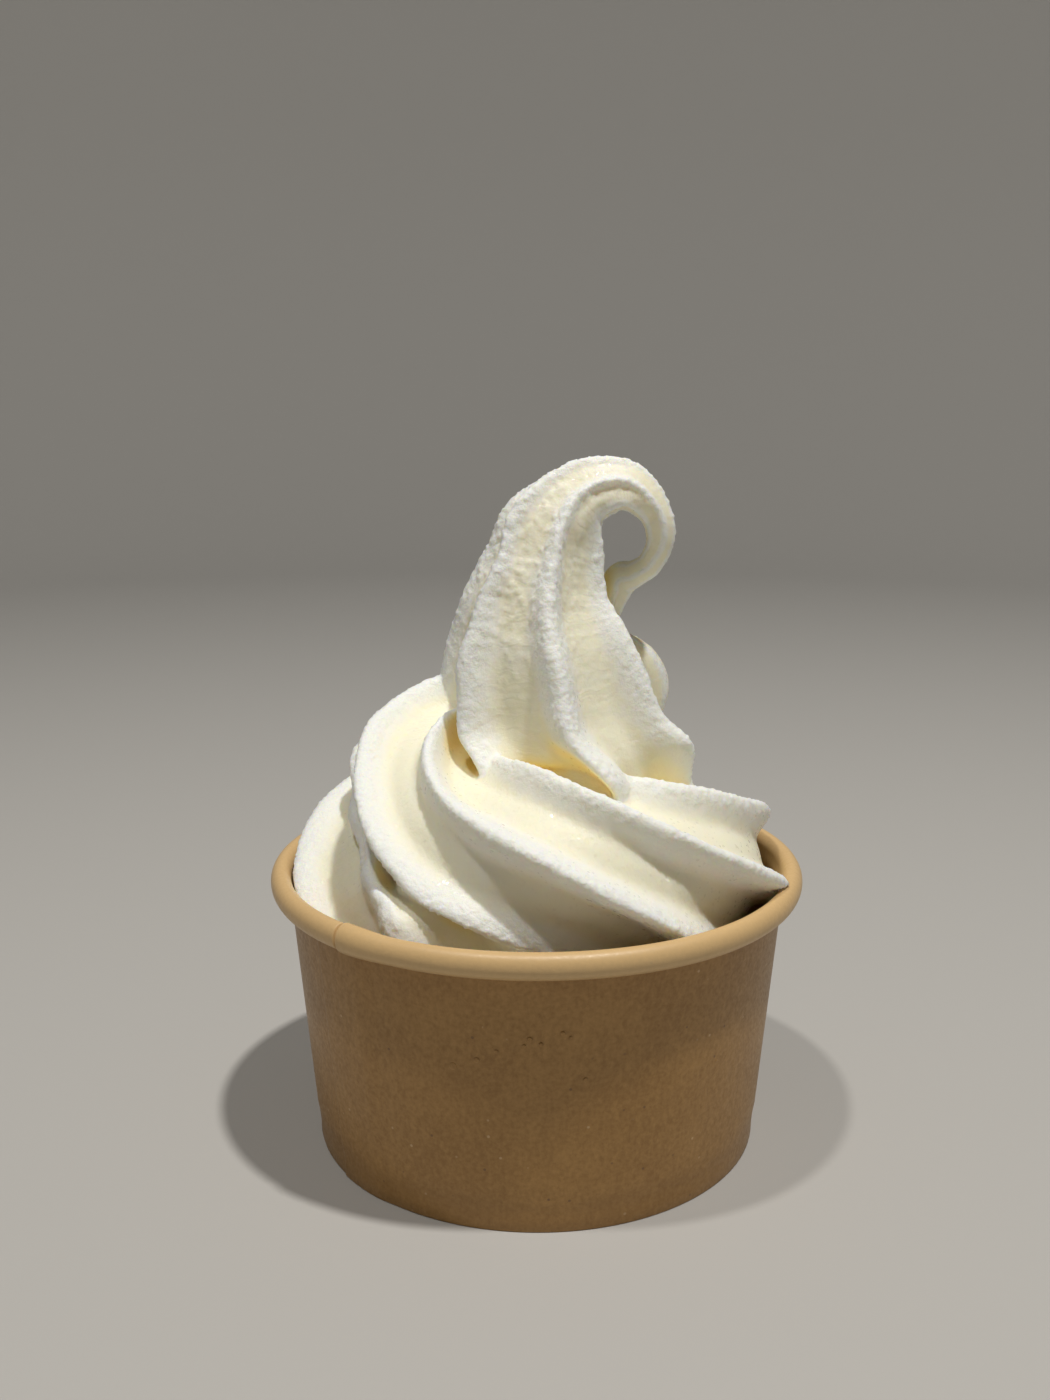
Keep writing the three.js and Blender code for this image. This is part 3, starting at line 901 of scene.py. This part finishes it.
def buildRopes():
    tree = starTree()
    common = {"Lobes": star["lobes"], "Points per Lobe": star["perLobe"], "Sharpness": star["sharpness"],
              "Wander": star["wander"], "Material": cream}
    coil = ropeSpine()
    grow(coil, tree, {**common, "Seed": rope["seed"]})
    tip = peakSpine()
    grow(tip, tree, {**common, "Seed": peak["seed"], "Arch Foot": peak["archFoot"],
                     "Arch Rise": peak["archRise"], "Arch Tuck": peak["archTuck"],
                     "Arch Heading": math.radians(peak["archHeading"])})
    writePoints(tip.data, nudged(readPoints(tip.data), peak["nudges"]))
    writePoints(coil.data, nudged(readPoints(coil.data), rope["nudges"]))
    return joinMeshes("ropes", (coil, tip))


def plainSide(height):  # radius of the filling where it stands against the cup
    return wallRadius(height) - cup["paper"] - filling["gap"]


def buildFilling():  # what fills the cup under the rope, with a core up into the peak
    top = filling["level"]
    start = filling["cut"] - 3 * mm
    axis = 0.1 * mm
    outline = [(axis, start), (plainSide(start), start), (plainSide(top) - 0.5 * mm, top - 1.5 * mm),
               (plainSide(top) - 3 * mm, top), (axis, top)]
    points, faces = spin(outline, evenly(160))
    middle = [(max(r * mm, axis), h * mm) for r, h in filling["core"]]
    morePoints, moreFaces = spin(middle, evenly(48))
    faces += [tuple(i + len(points) for i in face) for face in moreFaces]
    return addPiece("fillingPart", meshFrom("filling", np.vstack([points, morePoints]), faces))


def clearOfPaper(points):  # presses the cream flat against the cup and lays it on the rim
    radius = np.hypot(points[:, 0], points[:, 1])
    height = points[:, 2]
    gap = filling["clearance"]
    limit = wallRadius(height) - cup["paper"] - gap
    reach, rise = cup["rollReach"] + gap, cup["rollRise"] + gap
    lift = np.clip((height - cup["rollHeight"]) / rise, -1, 1)
    bulge = cup["rollRadius"] - reach * np.sqrt(1 - lift**2)
    besideRoll = np.where(height < cup["rollHeight"], cup["rollRadius"] - reach, bulge)
    limit = np.where(height > cup["throatHeight"] - 1 * mm, np.minimum(limit, besideRoll), limit)
    inside = height < cup["rollHeight"] + rise
    scale = np.where(inside & (radius > limit), limit / np.maximum(radius, 1e-6), 1)
    points[:, 0] *= scale
    points[:, 1] *= scale
    return points


def keepOuterShell(mesh):  # leaves out the small bubbles shut in between the turns
    unseen = set(mesh.verts)
    shells = []
    while unseen:
        shell = {unseen.pop()}
        edge = list(shell)
        while edge:
            found = {link.other_vert(vertex) for vertex in edge for link in vertex.link_edges} & unseen
            unseen -= found
            shell |= found
            edge = list(found)
        shells.append(shell)
    shells.sort(key=len)
    bmesh.ops.delete(mesh, geom=[vertex for shell in shells[:-1] for vertex in shell], context="VERTS")


def closeFoot(piece):  # cuts the fused swirl level in the cup and runs plain sides down to the disc
    mesh = bmesh.new()
    mesh.from_mesh(piece.data)
    cut = filling["cut"]
    bmesh.ops.bisect_plane(mesh, geom=mesh.verts[:] + mesh.edges[:] + mesh.faces[:], plane_co=(0, 0, cut),
                           plane_no=(0, 0, 1), clear_inner=True)
    keepOuterShell(mesh)
    floor = cup["discHeight"] + cup["paper"] + filling["gap"]
    rim = [edge for edge in mesh.edges if edge.is_boundary]
    for height in np.linspace(cut, floor, filling["cutRows"])[1:]:
        made = bmesh.ops.extrude_edge_only(mesh, edges=rim)["geom"]
        rim = [item for item in made if isinstance(item, bmesh.types.BMEdge)]
        for vertex in {v for edge in rim for v in edge.verts}:
            scale = plainSide(height) / math.hypot(vertex.co.x, vertex.co.y)
            vertex.co = Vector((vertex.co.x * scale, vertex.co.y * scale, height))
    bmesh.ops.edgeloop_fill(mesh, edges=rim)
    bmesh.ops.recalc_face_normals(mesh, faces=mesh.faces)
    mesh.to_mesh(piece.data)
    mesh.free()


def buildSoftServe():
    ropes = buildRopes()
    swirl = joinMeshes("softServe", (addPiece("swirl", ropes.data.copy()), buildFilling()))
    skin = swirl.modifiers.new("fuse", "REMESH")
    skin.mode = "VOXEL"
    skin.voxel_size = filling["voxel"]
    soft = swirl.modifiers.new("soften", "SMOOTH")
    soft.factor = 0.5
    soft.iterations = filling["soften"]
    bake(swirl)
    writePoints(swirl.data, clearOfPaper(readPoints(swirl.data)))
    closeFoot(swirl)
    print("swirl fused:", len(swirl.data.polygons), "faces")
    grow(swirl, frostTree(), {"Ropes": ropes, "Material": cream, **frost})
    thin = swirl.modifiers.new("thin", "DECIMATE")
    thin.ratio = min(1, filling["triangles"] / (2 * len(swirl.data.polygons)))
    bake(swirl)
    writePoints(swirl.data, clearOfPaper(readPoints(swirl.data)))
    bpy.data.objects.remove(ropes)
    return swirl


softServe = buildSoftServe()
softServe.data.shade_smooth()
print("soft serve made:", len(softServe.data.polygons), "faces")


# Which CAD nodes the pieces stand for

for piece, node, finish in ((cupWall, "cup_wall", "kraft_paper"), (cupBottom, "cup_bottom", "kraft_paper"),
                            (softServe, "soft_serve", "soft_serve")):
    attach(piece, "root")
    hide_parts(node)


# Floor, light and camera

studio = {
    "floor": (0.48, 0.47, 0.45),
    "floorRings": (0.001, 0.3, 0.5),
    "floorRadius": 0.75,
    "floorSides": 96,
    "floorRoughness": 0.75,
    "sweepRadius": 0.35,
    "wallHeight": 0.75,
    "lights": [  # name, place, aim, size, watts, colour
        ("rightLight", (0.2, -0.2, 0.95), (0, 0, 0.05), 0.05, 6.0, (1.0, 0.97, 0.92)),
        ("leftLight", (-0.2, -0.2, 0.95), (0, 0, 0.05), 0.05, 2.6, (1.0, 0.97, 0.92)),
    ],
    "world": (0.95, 0.93, 0.90),
    "worldStrength": 0.06,
}

view = {
    "place": (-1.98 * mm, -232.98 * mm, 126.81 * mm),
    "tilt": 12.496,           # degrees below level
    "sensor": 36.0,
    "focalPixels": 1422.9,    # focal length in the photo's pixels
    "photoHeight": 1400,
}


def buildStudio():
    bend = studio["sweepRadius"]
    outline = [(radius, 0) for radius in studio["floorRings"]]
    outline += [(studio["floorRadius"] + bend * math.sin(a), bend - bend * math.cos(a))
                for a in np.radians(np.arange(0, 91, 7.5))]
    outline.append((studio["floorRadius"] + bend, studio["wallHeight"]))
    sides = studio["floorSides"]
    points, faces = spin(outline, evenly(sides))
    rows = len(outline)
    faces = [face for i, face in enumerate(faces) if i % rows != rows - 1]
    faces.append([i * rows for i in range(sides)])
    floor = tidy(addPiece("floor", meshFrom("floor", points, faces)))
    floor.data.shade_smooth()
    material, tree, shader = newMaterial("paleFloor")
    shader.inputs["Base Color"].default_value = (*studio["floor"], 1)
    shader.inputs["Roughness"].default_value = studio["floorRoughness"]
    floor.data.materials.append(material)
    for name, place, aim, size, watts, colour in studio["lights"]:
        lamp = bpy.data.lights.new(name, "AREA")
        lamp.shape = "DISK"
        lamp.size = size
        lamp.energy = watts
        lamp.color = colour
        holder = bpy.data.objects.new(name, lamp)
        holder.location = place
        holder.rotation_euler = (Vector(aim) - Vector(place)).to_track_quat("-Z", "Y").to_euler()
        bpy.context.scene.collection.objects.link(holder)
    world = bpy.data.worlds.new("studio")
    world.use_nodes = True
    backdrop = world.node_tree.nodes["Background"]
    backdrop.inputs["Color"].default_value = (*studio["world"], 1)
    backdrop.inputs["Strength"].default_value = studio["worldStrength"]
    bpy.context.scene.world = world
    bpy.context.scene.view_settings.view_transform = "Standard"


def buildCamera():
    lens = bpy.data.cameras.new("camera")
    lens.sensor_fit = "VERTICAL"
    lens.sensor_height = view["sensor"]
    lens.lens = view["sensor"] * view["focalPixels"] / view["photoHeight"]
    lens.clip_start = 0.01
    camera = bpy.data.objects.new("camera", lens)
    camera.location = view["place"]
    camera.rotation_euler = (math.radians(90 - view["tilt"]), 0, 0)
    bpy.context.scene.collection.objects.link(camera)
    bpy.context.scene.camera = camera


buildStudio()
buildCamera()
print("studio made")
